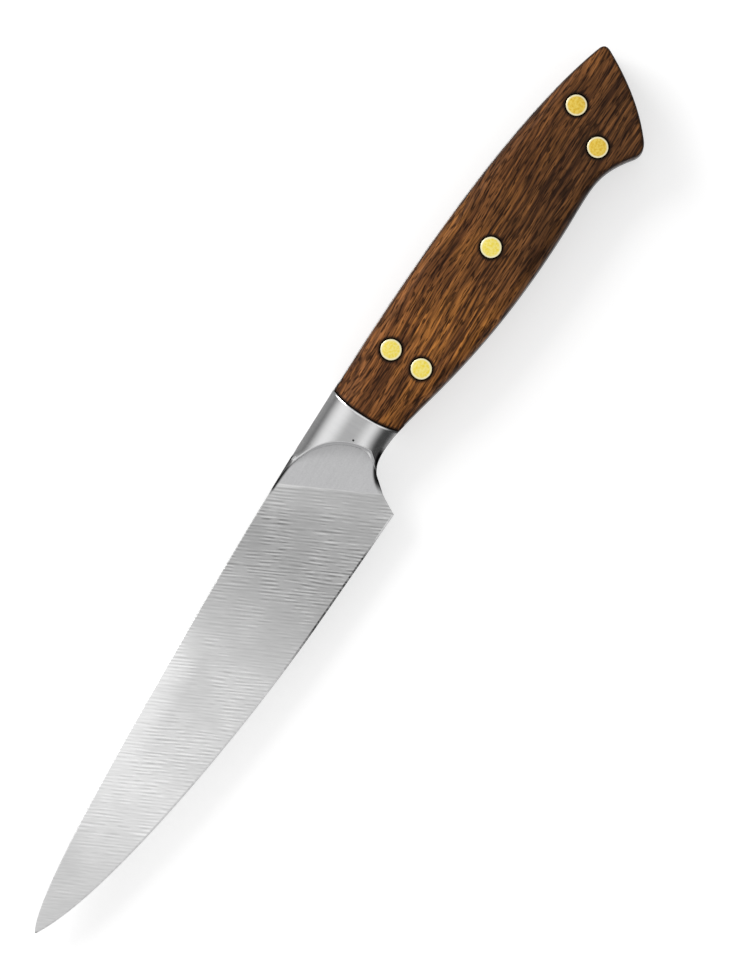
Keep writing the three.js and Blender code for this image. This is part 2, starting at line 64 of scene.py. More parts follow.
# Outline: ends of its curves, and the corners that pull each curve between its ends
POINT_TOP = (-142.5, 0.3)
POINT_FOOT = (-142.5, 0.0)
SPINE_LEVEL = (-17.6, 9.5)
WOOD_FRONT = (0.0, 9.5)
EDGE_STRAIGHT = (-47.5, -16.75)
HEEL = (-15.5, -18.0)
CHOIL_END = (-4.5, -8.0)
PALM = (60.0, -16.2)
BEAK_FRONT = (84.3, -20.8)
BEAK_BACK = (88.7, -20.5)
BUTT_START = (102.3, -2.6)
BUTT_TOP = (101.0, 0.4)
SPINE_PULL = ((-134.4, 5.9), (-67.6, 8.5))
EDGE_PULL = ((-127.1, -9.25), (-77.0, -15.55))
CHOIL_PULL = ((-11.5, -10.3), (-9.6, -8.0))
BELLY_PULL = ((7.1, -8.0), (21.9, -16.2))
PALM_PULL = ((72.8, -16.2), (76.3, -14.6))
BEAK_PULL = (86.4, -22.2)
BUTT_PULL = (96.5, -14.2)
CORNER_PULL = (103.4, -0.35)
GRIP_PULL = ((77.6, 7.9), (41.4, 9.8))

# Steel
HALF_STEEL = 1.2
POINT_HALF = 0.35
BEVEL_WIDTH = 0.5
BEVEL_HALF = 0.2
EDGE_HALF = 0.03
EASED_RIM = 0.2  # radius that rounds off the corners of spine, notch and tang
GRIND_TOP_X = -24.1
GRIND_FOOT_X = -12.8

# Bolster
FLAT_END = 6.35
FLAT_CURVE_LENGTH = 20.25
FLAT_CURVE_HEIGHT = 16.2
FLAT_CURVE_DROP = 7.0
FLAT_CURVE_POWER = 2.3
CHOIL_RIM_LEAN = 0.83
FLARE_LENGTH = 26.5
FADE_POWER = 14
SHOULDER = 0.1  # share of the way to the wood over which the bolster's shoulder rises
BOLSTER_END = 0.96  # share of the way to the wood at which its joint takes over
PIT = (-6.0, -0.7)  # small pit in the left side of the bolster, by the end of the flat
PIT_RADIUS = 0.25

# Painted dark reflections along spine and notch: start, end, length of fade, first and last width
SPINE_PAINTED_DARK_REFLECTION = (-27.5, -13.5, 2.5, 0.5, 1.7)
NOTCH_PAINTED_DARK_REFLECTION = (-13.6, -3.0, 2.5, 1.1, 1.1)
LINE_MARGIN = 1.0  # stretch of the outline past a line's ends that still counts for it
SIDE_LEAN = 0.45  # upright part of the normal from which a surface counts as a side

# Handle
HALF_HANDLE = 8.5
SCALE_THICKNESS = HALF_HANDLE - HALF_STEEL
SPINE_ROUND = 3.0
BELLY_ROUND = 3.7
BUTT_ROUND = 1.0
ROUND_FADE = 22.0
FRONT_ROUND = 8.0
FRONT_LEAN = math.radians(39)
FRONT_FADE = 16.0
TANG_PROUD = 0.25
JOINT_DRAFT = 3.4
JOINT_LEAN = JOINT_DRAFT / SCALE_THICKNESS
JOINT_GAP = 0.3
RIM_CHAMFER = 0.1  # broken edge of the bolster at the joint
RIM_LAND = 0.4  # level land of the bolster along the joint
LAND_LEAD = 0.1  # from the ring ahead of that land to the land
TANG_LEAD = 0.1  # from the joint to the tang's first ring
BUTT_LEAD = 0.002  # from the tang's last ring to the end of the butt
# the dark of the wood's walls and rims is painted shade
WALL_DISTANCE = 0.45  # the wood's walls are as dark as its side is at this distance from its rim

# Rivets
RIVETS = {
    "front_spine_rivet": (16.4, 3.2),
    "front_belly_rivet": (16.4, -5.1),
    "middle_rivet": (48.8, -3.6),
    "rear_spine_rivet": (87.2, -2.6),
    "rear_belly_rivet": (81.6, -12.0),
}
HEAD_RADIUS = 2.5
HEAD_SEAT = 6.5
HEAD_CHAMFER = 0.15
POST_RADIUS = 1.1
POST_END = -5.5
SLEEVE_RADIUS = 1.8
SLEEVE_BORE = 1.2
SLEEVE_END = -5.0
HOLE_CLEARANCE = 0.3
CUT_PAST = 2.0  # how far a cutter stands past what it cuts
WEDGE_REACH = 30.0

# Fineness
CURVE_POINTS = 240
BEVEL_POINTS = 12
SIDE_POINTS = 56
BLADE_RINGS = 240
POINT_CROWDING = 1.3  # power that crowds the rings towards the point
HEEL_RINGS = 24
FLAT_RINGS = 14
SHOULDER_RINGS = 16
BOLSTER_RINGS = 48
NOTCH_POINTS = 4000
JOINT_PASSES = 4
TANG_RINGS = 150
ROUND_RINGS = 16
WALL_RINGS = 4
FRONT_POINTS = 12
RIM_STEP = 3  # every third point of the wood's outline is enough for the distance from it
TURN_STEPS = 72
HEAD_STEPS = 5
SHARP_ANGLE = math.radians(28)
MERGE_DISTANCE = 0.0001
TINY = 1e-6  # keeps divisors and radii clear of zero


# Outline

def bezier(*corners):
    """Points of a Bezier curve: its corners weighted with the Bernstein polynomials of a share from 0
    to 1."""
    order = len(corners) - 1
    t = np.linspace(0, 1, CURVE_POINTS)[:, None]
    weights = [math.comb(order, k) * t**k * (1 - t)**(order - k) for k in range(order + 1)]
    return sum(weight * np.array(corner) for weight, corner in zip(weights, corners))


belly_curve = bezier(CHOIL_END, *BELLY_PULL, PALM)
palm_curve = bezier(PALM, *PALM_PULL, BEAK_FRONT)
beak_curve = bezier(BEAK_FRONT, BEAK_PULL, BEAK_BACK)
butt_curve = bezier(BEAK_BACK, BUTT_PULL, BUTT_START)
corner_curve = bezier(BUTT_START, CORNER_PULL, BUTT_TOP)
grip_curve = bezier(BUTT_TOP, *GRIP_PULL, WOOD_FRONT)
butt_end = int(np.argmax(corner_curve[:, 0]))

SPINE_LINE = np.vstack([
    bezier(POINT_TOP, *SPINE_PULL, SPINE_LEVEL),
    grip_curve[::-1],
    corner_curve[:butt_end:-1],
])
LOWER_LINE = np.vstack([
    bezier(POINT_FOOT, *EDGE_PULL, EDGE_STRAIGHT),
    bezier(HEEL, *CHOIL_PULL, CHOIL_END),
    belly_curve,
    palm_curve,
    beak_curve,
    butt_curve,
    corner_curve[:butt_end + 1],
])


def spine_at(x):
    """Height of the upper outline at x, read off its curve."""
    return np.interp(x, *SPINE_LINE.T)


def lower_at(x):
    """Height of the lower outline at x, read off its curve."""
    return np.interp(x, *LOWER_LINE.T)


GRIND_TOP = (GRIND_TOP_X, float(spine_at(GRIND_TOP_X)))
GRIND_FOOT = (GRIND_FOOT_X, float(lower_at(GRIND_FOOT_X)))
GRIND_TURN = math.atan2(GRIND_FOOT[1] - GRIND_TOP[1], GRIND_FOOT[0] - GRIND_TOP[0])


# Meshes

def lerp(start, end, share):
    """Value at a share of the straight way from a start to an end."""
    return start + (end - start) * share


def smooth_share(distance, length):
    """Share of a length that a distance covers, eased at both ends with the cubic 3t^2 - 2t^3."""
    share = np.clip(distance / length, 0, 1)
    return share * share * (3 - 2 * share)


def placed(points):
    """The knife's own millimetres as metres in the part's frame, which the middle rivet ties
    together."""
    low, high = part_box("middle_rivet_male")
    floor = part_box("right_scale")[0].z
    x, y = RIVETS["middle_rivet"]
    shift = [(low.x + high.x) / 2 - x * MM, (low.y + high.y) / 2 - y * MM, floor + HALF_HANDLE * MM]
    return np.asarray(points) * MM + np.array(shift)


def ring_faces(rings, size):
    """Quads between neighbouring rings of a tube: each point, the next on its ring, and both on the
    next ring."""
    ring, point = np.meshgrid(np.arange(rings - 1), np.arange(size), indexing="ij")
    here, beside = ring * size + point, ring * size + (point + 1) % size
    return np.stack([here, beside, beside + size, here + size], axis=-1).reshape(-1, 4)


def mesh_of(name, points, quads, caps=(), finishes=0):
    """Mesh of points in metres, quads and end caps, with doubles merged and its faces turned
    outwards."""
    mesh = bpy.data.meshes.new(name)
    mesh.from_pydata(points.tolist(), [], quads.tolist() + [cap.tolist() for cap in caps])
    slots = np.broadcast_to(finishes, len(mesh.polygons)).astype(np.int32)
    mesh.polygons.foreach_set("material_index", slots)
    work = bmesh.new()
    work.from_mesh(mesh)
    bmesh.ops.remove_doubles(work, verts=work.verts, dist=MERGE_DISTANCE * MM)
    bmesh.ops.dissolve_degenerate(work, edges=work.edges, dist=MERGE_DISTANCE * MM)
    bmesh.ops.recalc_face_normals(work, faces=work.faces)
    work.to_mesh(mesh)
    work.free()
    return mesh


def object_of(mesh, materials=()):
    """Puts a mesh and its materials into the scene as an object."""
    made = bpy.data.objects.new(mesh.name, mesh)
    bpy.context.scene.collection.objects.link(made)
    for material in materials:
        mesh.materials.append(material)
    return made


def cut(piece, cutter):
    """Takes the cutter's volume out of a piece for good and removes the cutter."""
    modifier = piece.modifiers.new("cut", "BOOLEAN")
    modifier.object = cutter
    modifier.solver = "EXACT"
    depsgraph = bpy.context.evaluated_depsgraph_get()
    drilled = bpy.data.meshes.new_from_object(piece.evaluated_get(depsgraph))
    piece.modifiers.clear()
    whole, piece.data = piece.data, drilled
    bpy.data.meshes.remove(whole)
    drilled.name = piece.name
    bpy.data.objects.remove(cutter)


def finish_piece(piece, node):
    """Smooth shading with crisp edges, the body that the piece rides on and the node it
    replaces."""
    piece.data.shade_smooth()
    piece.data.set_sharp_from_angle(angle=SHARP_ANGLE)
    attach(piece, "root")
    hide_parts(node)


# Forged blade: rings round the steel from the point to the butt

def ring_shares(height):
    """Places on a ring's side as shares of its height: squared spacing over the bevel, which takes half
    of the height at most, and cosine spacing above it."""
    bevel = np.minimum(BEVEL_WIDTH / height, 1 / 2)[:, None]
    lower = bevel * np.linspace(0, 1, BEVEL_POINTS + 1) ** 2
    turn = np.linspace(0, math.pi, SIDE_POINTS + 1)[1:]
    upper = bevel + (1 - bevel) * (1 - np.cos(turn)) / 2
    return np.hstack([lower, upper]), bevel


def ring_heights(lowest, highest):
    """Heights of the points of rings between the lowest and the highest of each."""
    share, _ = ring_shares(highest - lowest)
    return lerp(lowest[:, None], highest[:, None], share)


def eased(half, distance, radius):
    """Half thickness near a rim that is rounded with a quarter circle: it drops by the radius less the
    arc."""
    inside = np.maximum(radius - distance, 0)
    return half - radius + np.sqrt(np.maximum(radius**2 - inside**2, 0))


def ground_rings():
    """Straight rings from spine to edge, fanned out from the point to the grind line. The half
    thickness runs in straight lines from the edge to the bevel and on to the spine, and the heel's
    grows to the full steel."""
    to_heel = np.linspace(0, 1, BLADE_RINGS) ** POINT_CROWDING
    past_heel = np.sin(np.linspace(0, math.pi / 2, HEEL_RINGS + 1))[1:]
    top_x = HEEL[0] + GRIND_TOP_X - GRIND_FOOT_X
    spine_x = np.append(lerp(POINT_TOP[0], top_x, to_heel), lerp(top_x, GRIND_TOP_X, past_heel))
    edge_x = np.append(lerp(POINT_FOOT[0], HEEL[0], to_heel), lerp(HEEL[0], GRIND_FOOT_X, past_heel))
    spine_half = np.append(lerp(POINT_HALF, HALF_STEEL, to_heel), np.full(HEEL_RINGS, HALF_STEEL))[:, None]
    heel = np.append(np.zeros(BLADE_RINGS), past_heel)[:, None]
    spine_y, edge_y = spine_at(spine_x), lower_at(edge_x)
    height = np.hypot(spine_x - edge_x, spine_y - edge_y)
    share, bevel = ring_shares(height)
    edge_half, bevel_half = lerp(EDGE_HALF, HALF_STEEL, heel), lerp(BEVEL_HALF, HALF_STEEL, heel)
    sharpened = lerp(edge_half, bevel_half, share / bevel)
    ground = lerp(bevel_half, spine_half, (share - bevel) / (1 - bevel))
    half = np.where(share <= bevel, sharpened, ground)
    half = eased(half, (1 - share) * height[:, None], np.minimum(EASED_RIM, spine_half / 2))
    half = eased(half, share * height[:, None], np.maximum(EASED_RIM * heel, TINY))
    x = lerp(edge_x[:, None], spine_x[:, None], share)
    y = lerp(edge_y[:, None], spine_y[:, None], share)
    return np.stack([x, y, half], axis=-1)


def grind_line_at(y):
    """X of the straight grind line at a height."""
    return lerp(GRIND_FOOT[0], GRIND_TOP[0], (y - GRIND_FOOT[1]) / (GRIND_TOP[1] - GRIND_FOOT[1]))


def flat_end_at(y):
    """X where the flat of the blade ends at a height: a quarter superellipse, or the slanting border
    beside the notch, and never ahead of the grind line."""
    rise = np.clip((y + FLAT_CURVE_DROP) / FLAT_CURVE_HEIGHT, 0, 1)
    curve = FLAT_CURVE_LENGTH * ((1 - rise**FLAT_CURVE_POWER) ** (1 / FLAT_CURVE_POWER) - 1) - FLAT_END
    border = GRIND_FOOT[0] + CHOIL_RIM_LEAN * (y - GRIND_FOOT[1])
    return np.maximum(np.minimum(curve, border), grind_line_at(y))


def rim_drop(distance):
    """Drop of the bolster's surface at a distance from its rim: an arc that is level at the width of
    the front rounding and reaches its steepest lean at the rim."""
    sine = math.sin(FRONT_LEAN) * (1 - np.clip(distance / FRONT_ROUND, 0, 1))
    return FRONT_ROUND / math.sin(FRONT_LEAN) * (1 - np.sqrt(1 - sine**2))


def steel_half(x, y, shoulder):
    """Half thickness at x and y: the flat steel with eased rims, plus a share of the bolster's crown,
    which is the straight rise of the flare to a level land at the joint, less the drops at both rims.
    The drops shrink where the flare is low."""
    above, below = spine_at(x) - y, y - lower_at(x)
    drop = rim_drop(above) + rim_drop(below)
    ahead = JOINT_LEAN * drop - x - RIM_LAND
    flare = SCALE_THICKNESS * np.clip(1 - ahead / (FLARE_LENGTH - RIM_LAND), 0, 1)
    fading = flare / (flare**FADE_POWER + rim_drop(0)**FADE_POWER) ** (1 / FADE_POWER)
    rise = shoulder * (flare - fading * drop)
    rim = np.maximum(EASED_RIM - rise, 0)
    return eased(eased(HALF_STEEL, above, rim), below, rim) + rise


def flat_rings():
    """Rings over the unground flat, spread between the grind line and the flat's end at each height."""
    across = (1 - np.cos(np.linspace(0, math.pi, FLAT_RINGS + 1)[1:])) / 2
    y = ring_heights(np.full(FLAT_RINGS, GRIND_FOOT[1]), np.full(FLAT_RINGS, GRIND_TOP[1]))
    x = lerp(grind_line_at(y), flat_end_at(y), across[:, None])
    return np.stack([x, y, steel_half(x, y, 0)], axis=-1)


def bolster_rings():
    """Rings that keep the shape of the flat's end, drawn in towards the front of the wood. The shoulder
    rises along a quarter circle over its share of the way."""
    turn = np.linspace(0, math.pi / 2, SHOULDER_RINGS + 1)[1:]
    onward = np.linspace(SHOULDER, BOLSTER_END, BOLSTER_RINGS + 1)[1:]
    way = np.append(SHOULDER * (1 - np.cos(turn)), onward)
    shoulder = np.append(np.sin(turn), np.ones(BOLSTER_RINGS))
    notch = np.linspace(GRIND_FOOT[0], 0, NOTCH_POINTS)
    notch_way = 1 - notch / np.minimum(flat_end_at(lower_at(notch)), -TINY)
    lowest = lower_at(np.interp(way, notch_way, notch))
    highest = spine_at(GRIND_TOP[0] * (1 - way))
    y = ring_heights(lowest, highest)
    x = flat_end_at(y) * (1 - way[:, None])
    return np.stack([x, y, steel_half(x, y, shoulder[:, None])], axis=-1)


def joint_rings():
    """Rings over the end of the bolster: its level land along a plane that leans from the outer face
    back to the tang, with the corner broken, and then down that plane. A few passes bring X and
    thickness together."""
    x = np.zeros((1, BEVEL_POINTS + SIDE_POINTS + 1))
    share, _ = ring_shares(np.array([WOOD_FRONT[1] - CHOIL_END[1]]))
    for _ in range(JOINT_PASSES):
        y = lerp(lower_at(x), spine_at(x), share)
        half = steel_half(x, y, 1)
        x = JOINT_LEAN * (HALF_HANDLE - half)
    tang = steel_half(x, y, 0)
    land_x = x - np.array([RIM_LAND + LAND_LEAD, RIM_LAND, RIM_CHAMFER])[:, None]
    land_y = lerp(lower_at(land_x), spine_at(land_x), share)
    land = np.stack([land_x, land_y, steel_half(land_x, land_y, 1)], axis=-1)
    steps = np.array([RIM_CHAMFER, SCALE_THICKNESS / 2, SCALE_THICKNESS])[:, None]
    down = half - np.minimum(steps, half - tang)
    face_x = JOINT_LEAN * (HALF_HANDLE - down)
    face = np.stack([face_x, lerp(lower_at(face_x), spine_at(face_x), share), down], axis=-1)
    return np.vstack([land, face])


def tang_rings():
    """Rings round the tang, closer together towards the butt, where the outline closes. Its rims are
    eased by a third of its height at most."""
    last = corner_curve[butt_end, 0] - BUTT_LEAD
    first = JOINT_DRAFT + TANG_LEAD
    x = last - (last - first) * (1 - np.linspace(0, 1, TANG_RINGS)) ** 2
    lowest, highest = lower_at(x), spine_at(x)
    y = ring_heights(lowest, highest)
    rim = np.minimum(EASED_RIM, (highest - lowest) / 3)[:, None]
    half = eased(eased(HALF_STEEL, highest[:, None] - y, rim), y - lowest[:, None], rim)
    return np.stack([np.broadcast_to(x[:, None], y.shape), y, half], axis=-1)


def forged_blade(finishes):
    """One closed skin through all rings. Each ring runs up the left side and back down the mirrored
    right side, and the first and last rings are closed by strips between the two sides."""
    zones = {
        "ground": ground_rings(),
        "flat": flat_rings(),
        "bolster": np.vstack([bolster_rings(), joint_rings()]),
        "tang": tang_rings(),
    }
    left = np.vstack(list(zones.values()))
    right = left[:, ::-1] * (1, 1, -1)
    rings = np.concatenate([left, right], axis=1)
    count, size = rings.shape[:2]
    step = np.arange(size // 2 - 1)
    ladder = np.stack([step, step + 1, size - 2 - step, size - 1 - step], axis=-1)
    faces = np.vstack([ring_faces(count, size), ladder, ladder + (count - 1) * size])
    zone_finish = [finishes.index(name) for name in zones]
    ring_finish = np.repeat(zone_finish, [len(zone) for zone in zones.values()])
    side_finish = np.repeat(ring_finish[1:, None], size, axis=1)
    place = np.arange(size)
    on_bevel = (place < BEVEL_POINTS) | (place >= size - 1 - BEVEL_POINTS)
    side_finish[:BLADE_RINGS - 1, on_bevel] = finishes.index("bevel")
    end_finish = np.repeat([finishes.index("ground"), finishes.index("tang")], len(ladder))
    skin = np.clip(placed(rings.reshape(-1, 3)), cad_low, cad_high)
    return mesh_of("forged_blade_skin", skin, faces, finishes=np.append(side_finish, end_finish))


# Turned bodies and scales

def turned(name, profiles):
    """Bodies turned round Z: each profile of radii and heights is carried round a circle about its own
    place."""
    turn = np.linspace(0, 2 * math.pi, TURN_STEPS, endpoint=False)
    points, faces, start = [], [], 0
    for (x, y), profile in profiles:
        radius, height = np.array(profile).T[:, :, None]
        body = np.broadcast_arrays(x + radius * np.cos(turn), y + radius * np.sin(turn), height)
        points.append(np.stack(body, axis=-1).reshape(-1, 3))
        faces.append(ring_faces(len(profile), TURN_STEPS) + start)
        start += len(points[-1])
    return mesh_of(name, placed(np.vstack(points)), np.vstack(faces))


def head_profile():
    """Half section of a rivet's head, from the middle of its face to its seat, with the edge
    rounded."""
    turn = np.linspace(0, math.pi / 2, HEAD_STEPS)
    rim_radius = HEAD_RADIUS - HEAD_CHAMFER + HEAD_CHAMFER * np.sin(turn)
    rim_height = HALF_HANDLE - HEAD_CHAMFER + HEAD_CHAMFER * np.cos(turn)
    return [(0, HALF_HANDLE), *zip(rim_radius, rim_height), (HEAD_RADIUS, HEAD_SEAT)]


def male_profile():
    """Half section of a rivet's male half: its head and a solid post."""
    return [*head_profile(), (POST_RADIUS, HEAD_SEAT), (POST_RADIUS, POST_END), (0, POST_END)]


def female_profile():
    """Half section of a rivet's female half: its head and a hollow sleeve."""
    sleeve = [(SLEEVE_RADIUS, HEAD_SEAT), (SLEEVE_RADIUS, SLEEVE_END), (SLEEVE_BORE, SLEEVE_END)]
    return [*head_profile(), *sleeve, (SLEEVE_BORE, HEAD_SEAT), (0, HEAD_SEAT)]


def hole_profile(seated):
    """Half section of a rivet's hole: a clear way for the sleeve and, in a scale, a wider seat for the
    head."""
    way, seat = SLEEVE_RADIUS + HOLE_CLEARANCE, HEAD_RADIUS + HOLE_CLEARANCE
    past = HALF_HANDLE + CUT_PAST
    if not seated:
        return [(0, past), (way, past), (way, -past), (0, -past)]
    return [(0, past), (seat, past), (seat, HEAD_SEAT), (way, HEAD_SEAT), (way, 0), (0, 0)]


def mirrored(profile):
    """A half section turned over about the middle plane."""
    return [(radius, -height) for radius, height in profile]


def scale_outline():
    """Outline of a scale, drawn in from the tang's, with its inward normals and the width and steepest
    lean of its rounding, which blend smoothly from the bolster's arc to quarter circles with the radii
    of belly, spine and butt."""
    front = np.linspace(WOOD_FRONT, (CHOIL_END[0], WOOD_FRONT[1]), FRONT_POINTS)
    stretches = [
        ("belly", belly_curve), ("belly", palm_curve), ("butt", beak_curve), ("butt", butt_curve),
        ("butt", corner_curve), ("spine", grip_curve), ("spine", front),
    ]
    places = np.vstack([curve[:-1] for _, curve in stretches] + [front[-1:]])
    kinds = np.concatenate([np.full(len(curve) - 1, kind) for kind, curve in stretches] + [["spine"]])
    along = np.gradient(places, axis=0)
    normals = np.stack([-along[:, 1], along[:, 0]], axis=-1)
    normals /= np.linalg.norm(normals, axis=1, keepdims=True)
    on_belly, on_butt = kinds == "belly", kinds == "butt"
    to_butt = np.where(on_belly, BEAK_FRONT[0], BUTT_TOP[0]) - places[:, 0]
    side = np.where(on_belly, BELLY_ROUND, SPINE_ROUND)
    radius = np.where(on_butt, BUTT_ROUND, lerp(BUTT_ROUND, side, smooth_share(to_butt, ROUND_FADE)))
    from_front = smooth_share(places[:, 0], FRONT_FADE)
    width, lean = lerp(FRONT_ROUND, radius, from_front), lerp(FRONT_LEAN, math.pi / 2, from_front)
    return places + TANG_PROUD * normals, normals, width, lean


def scale_block(name, side):
    """Rings of the scale's outline: up the wall from the tang, then drawn in along an arc from its
    steepest lean to the level outer face, and both faces closed flat."""
    places, normals, width, lean = scale_outline()
    radius = width / np.sin(lean)
    turn = lean * np.linspace(1, 0, ROUND_RINGS)[:, None]
    arc = HALF_HANDLE - radius * (1 - np.cos(turn))
    foot = lerp(HALF_STEEL, arc[0], np.linspace(0, 1, WALL_RINGS, endpoint=False)[:, None])
    height = np.vstack([foot, arc])
    drawn_in = np.vstack([np.zeros_like(foot), width - radius * np.sin(turn)])
    outline = places + drawn_in[..., None] * normals
    rings = np.concatenate([outline, side * height[..., None]], axis=-1)
    count, size = rings.shape[:2]
    inner = np.arange(size)
    skin = np.clip(placed(rings.reshape(-1, 3)), cad_low, cad_high)
    return mesh_of(name, skin, ring_faces(count, size), [inner, inner + (count - 1) * size])


def joint_wedge(side):
    """Wedge ahead of the joint: a slanting quadrilateral in X and Z carried across the knife."""
    low, high = HALF_STEEL - CUT_PAST, HALF_HANDLE + CUT_PAST
    section = np.array([
        (CHOIL_END[0] - CUT_PAST, low),
        (JOINT_DRAFT + JOINT_GAP + CUT_PAST * JOINT_LEAN, low),
        (JOINT_GAP - CUT_PAST * JOINT_LEAN, high),
        (CHOIL_END[0] - CUT_PAST, high),
    ])
    ends = [np.insert(section * (1, side), 1, y, axis=1) for y in (-WEDGE_REACH, WEDGE_REACH)]
    corners = np.arange(len(section))
    caps = [corners, corners + len(section)]
    return mesh_of("joint_wedge", placed(np.vstack(ends)), ring_faces(len(ends), len(section)), caps)


# Marks that the materials read from the meshes

def side_places(mesh):
    """X and Y of a mesh's points in the knife's own millimetres."""
    points = np.empty(len(mesh.vertices) * 3, dtype=np.float32)
    mesh.vertices.foreach_get("co", points)
    return ((points.reshape(-1, 3) - placed([(0, 0, 0)])) / MM)[:, :2]


def facing_shares(mesh):
    """How much each point of a mesh counts as part of its sides: all of it where its normal is upright
    enough, and nothing of it on a wall."""
    normals = np.empty(len(mesh.vertices) * 3, dtype=np.float32)
    mesh.vertices.foreach_get("normal", normals)
    return smooth_share(np.abs(normals[2::3]), SIDE_LEAN)


def distance_from(outline, places):
    """Distance of each place from an outline: from the nearer of the two straight stretches beside the
    outline's nearest point."""
    nearest = np.hypot(*np.moveaxis(places[:, None] - outline[None], 2, 0)).argmin(axis=1)
    start = outline[nearest]
    gaps = []
    for step in (-1, 1):
        stretch = outline[np.clip(nearest + step, 0, len(outline) - 1)] - start
        squared = np.maximum((stretch**2).sum(axis=1), TINY**2)
        share = np.clip(((places - start) * stretch).sum(axis=1) / squared, 0, 1)
        gaps.append(np.hypot(*(places - start - share[:, None] * stretch).T))
    return np.minimum(*gaps)


def store(mesh, name, values):
    """Keeps one value for each point of a mesh under a name."""
    mesh.attributes.new(name, "FLOAT", "POINT").data.foreach_set("value", values)


def mark_blade(mesh):
    """Stores each point's depth below the spine, in millimetres, and how much of the painted dark
    reflections along spine and notch lies on it: they fade in and out along X and away from the outline,
    and lie on the sides only."""
    places, sideways = side_places(mesh), facing_shares(mesh)
    x, y = places.T
    dark = np.zeros(len(places))
    for outline, line in ((SPINE_LINE, SPINE_PAINTED_DARK_REFLECTION), (LOWER_LINE, NOTCH_PAINTED_DARK_REFLECTION)):
        start, end, fade, *widths = line
        near = (outline[:, 0] > start - LINE_MARGIN) & (outline[:, 0] < end + LINE_MARGIN)
        along = smooth_share(x - start, fade) * smooth_share(end - x, fade)
        half_width = lerp(*widths, np.clip((x - start) / (end - start), 0, 1)) / 2
        away = smooth_share(distance_from(outline[near], places) - half_width, half_width)
        dark = np.maximum(dark, along * (1 - away) * sideways)
    store(mesh, "painted_dark_reflection", dark)
    store(mesh, "below_spine", spine_at(x) - y)


def mark_scale(mesh):
    """Stores each point's distance from the scale's outline, in millimetres and seen from the side. Its
    walls count as a little way in."""
    distance = distance_from(scale_outline()[0][::RIM_STEP], side_places(mesh))
    store(mesh, "rim", distance + WALL_DISTANCE * (1 - facing_shares(mesh)))


def mark_rivet(mesh, place):
    """Stores each point's distance from the rivet's axis, in millimetres."""
    store(mesh, "radius", np.hypot(*(side_places(mesh) - place).T))


# Materials

WAVE_TURN = 2 * math.pi / 20  # scale at which a wave texture has one wave for each unit of its coordinates

# Sizes of the grains of patterns along X, Y and Z, or along and across the grind line and through the
# blade. Hairs, nicks, buffing and sanding lines, fibres and pores are drawn coarser than the real ones,
# so that they show.
RIB_SIZE = (5.0, 0.85, 5.0)
DASH_SIZE = (3.4, 1.2, 3.4)
HAIR_SIZE = (4.0, 0.3, 4.0)
BLADE_PATCH_SIZE = (9.0, 9.0, 9.0)
NICK_SIZE = (0.45, 4.0, 4.0)
GRIT_SIZE = (0.35, 0.35, 0.35)
FORGING_LINE_SIZE = (9.0, 0.5, 9.0)
BUFFING_SIZE = (0.4, 7.0, 7.0)
CLOUD_SIZE = (5.0, 5.0, 5.0)
SANDING_SIZE = (8.0, 0.3, 0.3)
SWAY_SIZE = (30.0, 11.0, 11.0)
GROWTH_LINE_SIZE = (26.0, 0.85, 2.4)
FIBRE_SIZE = (6.5, 0.42, 0.8)
PORE_SIZE = (2.6, 0.36, 0.7)
WOOD_PATCH_SIZE = (20.0, 7.0, 7.0)
SPECK_SIZE = (0.55, 0.55, 0.55)

SWAY = 3.4  # how far the grain of the wood swings to and fro
BELLY_PATCH = (30.0, -7.5)  # middle of an orange patch in the wood by the front of the belly
MARK_CONTRAST = 1.1  # of the marks of the belt
LINE_SHARE = 0.4  # of the flat's lines beside its grit
CLOUD_SHARE = 0.5  # of the bolster's clouds beside its buffing lines

# Painted reflection of the overhead light along the ground faces, marks of the belt on them, painted
# highlight under the spine and wear of the bevel, as shares of the way from the point to the heel
BLADE_PAINTED_REFLECTION = [
    (0.05, "#dcdcdc"), (0.12, "#dadada"), (0.32, "#efefef"), (0.41, "#e4e4e4"), (0.5, "#e1e1e1"),
    (0.64, "#d3d3d3"), (0.8, "#b6b6b6"), (0.9, "#b8b8b8"),
]
BLADE_WEAR = [
    (0.09, "#707070"), (0.17, "#747474"), (0.25, "#aaaaaa"), (0.41, "#b8b8b8"), (0.5, "#a8a8a8"),
    (0.57, "#b4b4b4"), (0.65, "#989898"), (0.72, "#b3b3b3"), (0.8, "#f0f0f0"), (0.88, "#ffffff"),
]
# painted highlight under the middle of the spine, as shares of the way from the point to the heel
SPINE_PAINTED_HIGHLIGHT = [(0.2, "#000000"), (0.35, "#dadada"), (0.5, "#ffffff"), (0.57, "#dadada"), (0.64, "#000000")]
EDGE_WEAR = [(0.62, "#000000"), (0.74, "#ffffff"), (0.9, "#ffffff"), (0.96, "#000000")]

COLOURS = {"data_type": "RGBA"}  # for nodes that mix colours
SMOOTH = {"interpolation_type": "SMOOTHSTEP"}  # for ranges that are eased at both ends


def linear(code):
    """An sRGB hex colour as linear red, green, blue and alpha."""
    shares = [int(code[place:place + 2], 16) / 255 for place in (1, 3, 5)]
    return (*[s / 12.92 if s <= 0.04045 else ((s + 0.055) / 1.055) ** 2.4 for s in shares], 1.0)


def add(tree, kind, inputs=None, **settings):
    """Adds one node with its settings. Each named or numbered input gets a value, or a link from a
    socket or from the first output in use of a node."""
    made = tree.nodes.new("ShaderNode" + kind)
    for name, value in settings.items():
        setattr(made, name, value)
    for name, value in (inputs or {}).items():
        if isinstance(value, bpy.types.Node):
            value = next(socket for socket in value.outputs if socket.enabled)
        if isinstance(value, bpy.types.NodeSocket):
            tree.links.new(value, made.inputs[name])
        else:
            made.inputs[name].default_value = value
    return made


def empty_material(name):
    """A material with no nodes yet, and its tree."""
    material = bpy.data.materials.new(name)
    material.use_nodes = True
    material.node_tree.nodes.clear()
    return material, material.node_tree


def started(name):
    """A new material, its tree and the Object coordinates that its patterns read."""
    material, tree = empty_material(name)
    return material, tree, add(tree, "TexCoord").outputs["Object"]


